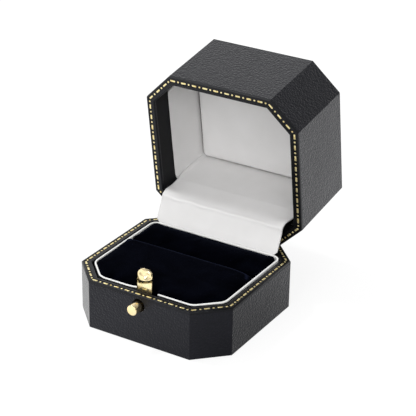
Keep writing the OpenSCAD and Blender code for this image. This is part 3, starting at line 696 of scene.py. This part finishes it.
# The button's radius and y from the rivet head behind the tongue to the slightly domed end.
turned = bmesh.new()
profile = [(0, -23.08), (1.0, -23.08), (1.25, -23.38), (0.8, -23.38), (0.8, -23.98), (1.62, -23.98),
           (1.7, -24.06), (1.7, -30.6), (1.64, -30.71), (1.52, -30.78), (1.2, -30.82), (0.8, -30.86),
           (0.4, -30.89), (0, -30.9)]
ring = [turned.verts.new((r, y, button_z)) for r, y in profile]
edges = [turned.edges.new(pair) for pair in zip(ring, ring[1:])]
bmesh.ops.spin(turned, geom=ring + edges, cent=(0, 0, button_z), axis=(0, 1, 0), angle=2 * math.pi, steps=64,
               use_merge=True, use_duplicate=False)
bmesh.ops.remove_doubles(turned, verts=turned.verts, dist=0.001)
bmesh.ops.recalc_face_normals(turned, faces=turned.faces)
for face in turned.faces:
    face.smooth = True
button = piece(turned, "latch_button_brass")
rounded(button, button_edge_r, steps=2)
dress(button, brass, "brass", "latch", "latch_button")
paint(brass, "latch_bracket", "lid_catch_plate", "lid_catch_pins", "base_hinge_leaf", "lid_hinge_leaf")


# Pins and leaf spring of the hinge and the latch, out of sight in the walls. Drawn steel wire and rolled
# spring steel, left bright; the spring is fixed at its foot.
steel, shader, place = surfaced("steel_drawn", {"Metallic": 1.0})
drawn = add(steel, "Mapping", {"Vector": place, "Scale": (1, 20, 20)})
lines = add(steel, "TexNoise", {"Vector": drawn.outputs[0], "Scale": 300, "Detail": 3})
tinted(steel, shader, lines.outputs[0], "#c8c8c6", "#9c9c9a")
glossed(steel, shader, lines.outputs[0], 0.25, 0.4)
paint(steel, "latch_pivot_pin", "hinge_pin")

leaf = bmesh.new()
leaf.from_mesh(frame["nodes"]["latch_spring"].data)
bmesh.ops.remove_doubles(leaf, verts=leaf.verts, dist=0.001 * MM)
bmesh.ops.scale(leaf, vec=[1 / MM] * 3, verts=leaf.verts)
bmesh.ops.recalc_face_normals(leaf, faces=leaf.faces)
spring = piece(leaf, "latch_leaf_spring")
dress(spring, steel, "steel", None, "latch_spring")
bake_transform(spring)


# Satin on the lid's walls and the cushion under its top. White polyester satin over thin wadding on card,
# pushed in beside each other so that a deep crease stays between them.
band_h, board_in, liner_t, ceiling = 8.3, 2.5, 0.9, 42.2
liner_z, liner_rear, liner_front_r, liner_rear_r, liner_edge_r = lid_z + band_h, 17.8, 1.4, 2.0, 0.35
liner_long, liner_cuts = 3, 11
liner_rings, mouth_l, mouth_droop, mouth_swag, swag_x, swag_y = 16, 4, 0.25, 0.5, 20, 21
wadding_h, wadding_rate, wadding_blend = 0.12, 0.2, 0.3
pad_in, pad_rear, pad_corner_r = board_in + liner_t - 0.1, 17.4, 2.4
pad_t, pad_thinner, pad_slope, pad_edge_r = 2.3, 0.8, 15, 1.4
satin_voxel, satin_cap = 0.5, 0.5

# White polyester satin: an even white with a soft directional shine, fine floats of weft and shallow puckers.
satin, shader, place = surfaced("satin_polyester", {
    "Sheen Weight": 0.2, "Sheen Roughness": 0.45, "Specular IOR Level": 0.45})
weft = add(satin, "Mapping", {"Vector": place, "Scale": (1, 9, 9)})
float_threads = add(satin, "TexNoise", {"Vector": weft.outputs[0], "Scale": 520, "Detail": 3})
clouds = add(satin, "TexNoise", {"Vector": place, "Scale": 110, "Detail": 2})
tinted(satin, shader, clouds.outputs[0], "#edecec", "#e2e1e0")
glossed(satin, shader, float_threads.outputs[0], 0.3, 0.44)
relief = add(satin, "Bump", {"Height": float_threads.outputs[0], "Strength": 0.2, "Distance": 0.00004})
pulled = add(satin, "Mapping", {"Vector": place, "Scale": (1, 0.3, 0.3)})
puckers = add(satin, "TexNoise", {"Vector": pulled.outputs[0], "Scale": 260, "Detail": 2})
embossed(satin, shader, puckers.outputs[0], 0.25, 0.0003, under=relief.outputs[0])

liner = bmesh.new()
liner.faces.new([liner.verts.new((p.x, p.y, liner_z)) for p in octagon(board_in)])
round_corners(liner, lambda v: v.co.y < 0, liner_front_r)
round_corners(liner, lambda v: v.co.y > 0, liner_rear_r)
shell = bmesh.ops.extrude_face_region(liner, geom=liner.faces[:])
raised = [v for v in shell["geom"] if isinstance(v, bmesh.types.BMVert)]
bmesh.ops.translate(liner, vec=(0, 0, ceiling - liner_z), verts=raised)
bmesh.ops.delete(liner, geom=[f for f in liner.faces if len(f.verts) > 4], context="FACES_ONLY")
cut_across(liner, (0, liner_rear, 0), (0, 1, 0), clear_outer=True)
for i in range(1, liner_rings):
    level = liner_z + (ceiling - liner_z) * (1 - math.cos(math.pi * i / liner_rings)) / 2
    cut_across(liner, (0, 0, level), (0, 0, 1))
long_and_level = [e for e in liner.edges
                  if e.calc_length() > liner_long and abs(e.verts[0].co.z - e.verts[1].co.z) < near]
bmesh.ops.subdivide_edges(liner, edges=long_and_level, cuts=liner_cuts, use_grid_fill=True)
bmesh.ops.recalc_face_normals(liner, faces=liner.faces)
lined = piece(liner, "satin_wall_lining")
shaped(lined, "SOLIDIFY", thickness=liner_t * MM, offset=-1, use_even_offset=True)
rounded(lined, liner_edge_r, angle=60)
for v in lined.data.vertices:
    x, y, z = v.co / MM
    inner = min(1, max(0, inset_of(x, y) - board_in - liner_t / 2) / wadding_blend)
    mouth = max(0, 1 - (z - liner_z) / mouth_l) ** 2
    middle = 1 - (y / swag_y) ** 4 if abs(x) > swag_x else 1 - (x / swag_x) ** 4
    soft = wadding_h * noise.noise(Vector((x, y, z)) * wadding_rate)
    v.co += Vector((-x, -y, 0)).normalized() * MM * inner * soft
    v.co.z -= MM * inner * mouth * (mouth_droop + mouth_swag * max(0, middle))
for face in lined.data.polygons:
    face.use_smooth = True
dress(turn_open(lined), satin, "satin", "lid", "lid_liner")


def pad_half(y):
    """Half of the lid cushion's width at y."""
    return half_width(pad_in, y, pad_rear, pad_corner_r)


def pad_top(x, y):
    """Thickness of the lid's cushion, which thins towards its rounded edges."""
    side = min(pad_half(y) - abs(x), y + box_d / 2 - pad_in, pad_rear - y)
    return pad_t - pad_thinner * max(0, 1 - side / pad_slope) ** 2 - fall_off(side, pad_edge_r)


pad = stuffed(pad_in - box_d / 2, pad_rear, 0, pad_half, pad_top, grid_cuts)
for v in pad.verts:
    v.co.z = ceiling - v.co.z
bmesh.ops.reverse_faces(pad, faces=pad.faces)
padding = piece(pad, "satin_lid_cushion")
blown_up(padding, satin_voxel, satin_cap)
for v in padding.data.vertices:
    v.co.z = min(v.co.z, ceiling * MM)
turn_open(padding)
dress(padding, satin, "satin", "lid", "lid_cushion")


# Satin flap over the hinge. One piece of the same satin over thin wadding, tucked down behind the collar,
# folded once where the lid turns, and led into the lid under the cushion's rear edge.
flap_t, tuck_z = 0.5, 6.5
flap_half, more_free, more_inside, more_deep, pulled_left = 21.6, 0.95, 0.45, 0.8, 0.55
ripple_h, pinch_h, pinch_w, bulge_h, bulge_l, bulge_from = 0.14, 0.2, 0.4, 0.85, 2.4, 0.55
curl_inside, curl_deep, curl_from, wander_h = 0.2, 0.7, 0.94, 0.5
free_from, inside_from, change_l = 10, 20, 6
lip_bend, fold_bend, shoulder_from, shoulder_bend, held_rear = 1.5, 0.6, 0.9, 2.4, 17.45


def in_open_lid(y, z):
    """Where a point of the shut lid lies when it is open."""
    moved = opening @ Vector((0, y, z))
    return Vector((moved.y, moved.z))


def bend(a, b, c, steps):
    """Points of a soft bend that leaves a towards b and reaches c from there."""
    return [a * (1 - t) ** 2 + b * 2 * t * (1 - t) + c * t * t for t in (i / steps for i in range(steps + 1))]


lip, fold, shoulder = Vector((18.57, 17.1)), Vector((22.2, 24.4)), Vector((24.6, 25.3))
lid_mouth = Vector((31.2, 26.9))
climb, over = (fold - lip).normalized(), (shoulder - fold).normalized()
run = (lid_mouth - shoulder).normalized()
path = [Vector((lip.x, tuck_z)), Vector((lip.x, 12)), Vector((lip.x, 14))]
path += bend(lip - Vector((0, lip_bend)), lip, lip + climb * lip_bend, 6)
path += bend(fold - climb * fold_bend, fold, fold + over * fold_bend, 6)
path += bend(fold + over * shoulder_from, shoulder, shoulder + run * shoulder_bend, 10)
path += [lid_mouth, in_open_lid(held_rear, ceiling - soft_clear)]
reach = [0]
for a, b in zip(path, path[1:]):
    reach.append(reach[-1] + (b - a).length)


def along_flap(s):
    """Point of the flap's middle line at a distance s from its tucked end, and the way through it."""
    i = max(k for k in range(len(path) - 1) if reach[k] <= s)
    tangent = (path[i + 1] - path[i]).normalized()
    return path[i] + tangent * (s - reach[i]), Vector((-tangent.y, tangent.x))


fold_at, shoulder_at, mouth_at = reach[13], reach[20], reach[-2]
flap = bmesh.new()
bmesh.ops.create_grid(flap, x_segments=80, y_segments=210, size=1)
for v in flap.verts:
    s, across = reach[-1] * (v.co.y + 1) / 2, abs(v.co.x)
    at, through = along_flap(s)
    free = min(1, max(0, s - free_from))
    inside = min(1, max(0, (s - inside_from) / change_l))
    deep = min(1, max(0, (s - mouth_at) / change_l))
    half = flap_half + more_free * free + more_inside * inside + more_deep * deep
    x = v.co.x * half - pulled_left * (1 - inside)
    ripple = ripple_h * noise.noise(Vector((x * 0.3, s * 0.04, 1))) * free
    curl = (curl_inside * inside + curl_deep * deep) * max(0, (across - curl_from) / (1 - curl_from)) ** 2
    wander = wander_h * noise.noise(Vector((x * 0.2, 3, 0)))
    pinch = pinch_h * math.exp(-((s - fold_at + wander) / pinch_w) ** 2)
    bulge = bulge_h * max(0, (across - bulge_from) / (1 - bulge_from)) ** 2
    bulge *= math.exp(-((s - shoulder_at) / bulge_l) ** 2)
    at = at + through * (ripple + curl + pinch + bulge)
    v.co = (x, at.x, at.y)
for face in flap.faces:
    face.smooth = True
sheet = piece(flap, "satin_hinge_flap")
shaped(sheet, "SOLIDIFY", thickness=flap_t * MM, offset=0, use_even_offset=True)
dress(sheet, satin, "satin", None, "satin_flap")
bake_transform(sheet)


# Studio: a pale floor in a white room, with soft lamps, and the camera where the photograph was taken from.
# What shines sees the room as it was: white behind and to the left, dim to the right of the box and in front.
floor_r, floor_glow, box_shade, shade_from, shade_to = 1500, 0.82, (0.045, -0.01, 0), 0.02, 0.07
fill_light, white_side, aimed_at = 0.66, (-0.75, 0.5, -0.3), Vector((0, 0.01, 0.03))
eye, lens = (0.22974, -0.36901, 0.24559), 135.64
azimuth, elevation, roll = math.radians(31.05), math.radians(25.844), math.radians(0.943)

disc = bmesh.new()
bmesh.ops.create_circle(disc, cap_ends=True, segments=96, radius=floor_r)
ground = piece(disc, "studio_floor")
# Pale paper that keeps the box's shadow; in reflections it glows, with a painted shadow that darkens it close
# to the box's right side.
paper, shader, place = surfaced("floor_paper", {"Base Color": colour("#8a8a8a"), "Roughness": 0.9,
                                                "Specular IOR Level": 0.0})
rays = add(paper, "LightPath", {})
seen = add(paper, "Math", {0: rays.outputs["Is Camera Ray"], 1: rays.outputs["Is Transmission Ray"]},
           operation="MAXIMUM")
seen = add(paper, "Math", {0: seen.outputs[0], 1: floor_glow}, operation="MULTIPLY")
# Painted shadow in reflections: the glow that glossy rays see fades close to the box's right side.
away = add(paper, "VectorMath", {0: place, 1: box_shade}, operation="DISTANCE")
fade = add(paper, "MapRange", {"Value": away.outputs["Value"], "From Min": shade_from, "From Max": shade_to,
                               "To Min": 0.25, "To Max": 1.0})
mirrored = add(paper, "Math", {0: rays.outputs["Is Glossy Ray"], 1: fade.outputs[0]}, operation="MULTIPLY")
glow = add(paper, "Math", {0: seen.outputs[0], 1: mirrored.outputs[0]}, operation="MAXIMUM")
shader.inputs["Emission Color"].default_value = (1, 1, 1, 1)
join(paper, glow.outputs[0], shader, "Emission Strength")
ground.data.materials.append(paper)

room = bpy.data.worlds.new("white_room")
room.use_nodes = True
room.node_tree.nodes.clear()
rays = add(room, "LightPath", {})
way = add(room, "TexCoord", {}).outputs["Generated"]
bright_side = add(room, "VectorMath", {0: way, 1: white_side}, operation="DOT_PRODUCT")
fade = add(room, "MapRange", {"Value": bright_side.outputs["Value"], "From Min": -0.85, "From Max": 0.35,
                              "To Min": 0.03, "To Max": 1.0})
level = add(room, "MapRange", {"Value": rays.outputs["Is Glossy Ray"], "To Min": fill_light,
                               "To Max": fade.outputs[0]})
seen = add(room, "Math", {0: rays.outputs["Is Camera Ray"], 1: rays.outputs["Is Transmission Ray"]},
           operation="MAXIMUM")
level = add(room, "MapRange", {"Value": seen.outputs[0], "To Min": level.outputs[0], "To Max": 1.0})
light = add(room, "Background", {"Color": (1, 1, 1, 1), "Strength": level.outputs[0]})
add(room, "OutputWorld", {"Surface": light.outputs[0]})
bpy.context.scene.world = room


def softbox(name, spot, size, watts):
    """Square lamp that faces the box."""
    lamp = bpy.data.lights.new(name, "AREA")
    lamp.shape, lamp.size, lamp.energy = "SQUARE", size, watts
    obj = bpy.data.objects.new(name, lamp)
    bpy.context.scene.collection.objects.link(obj)
    obj.location = spot
    obj.rotation_euler = (aimed_at - obj.location).to_track_quat("-Z", "Y").to_euler()


softbox("lamp_top", (-0.33, -0.045, 0.62), 0.12, 1.4)
softbox("lamp_side", (0.45, -0.55, 0.4), 0.35, 1.35)
softbox("lamp_front", (0.05, -0.75, 0.28), 0.35, 1.65)

camera = bpy.data.objects.new("camera", bpy.data.cameras.new("camera"))
bpy.context.scene.collection.objects.link(camera)
level_part = math.cos(elevation)
back = Vector((math.sin(azimuth) * level_part, -math.cos(azimuth) * level_part, math.sin(elevation)))
right = Vector((0, 0, 1)).cross(back).normalized()
up = back.cross(right)
across, upward = right * math.cos(roll) + up * math.sin(roll), up * math.cos(roll) - right * math.sin(roll)
turn = Matrix((across, upward, back)).transposed().to_4x4()
camera.matrix_world = Matrix.Translation(eye) @ turn
camera.data.sensor_width, camera.data.lens = 36, lens
camera.data.clip_start, camera.data.clip_end = 0.01, 10
bpy.context.scene.camera = camera
bpy.context.scene.view_settings.view_transform = "Standard"
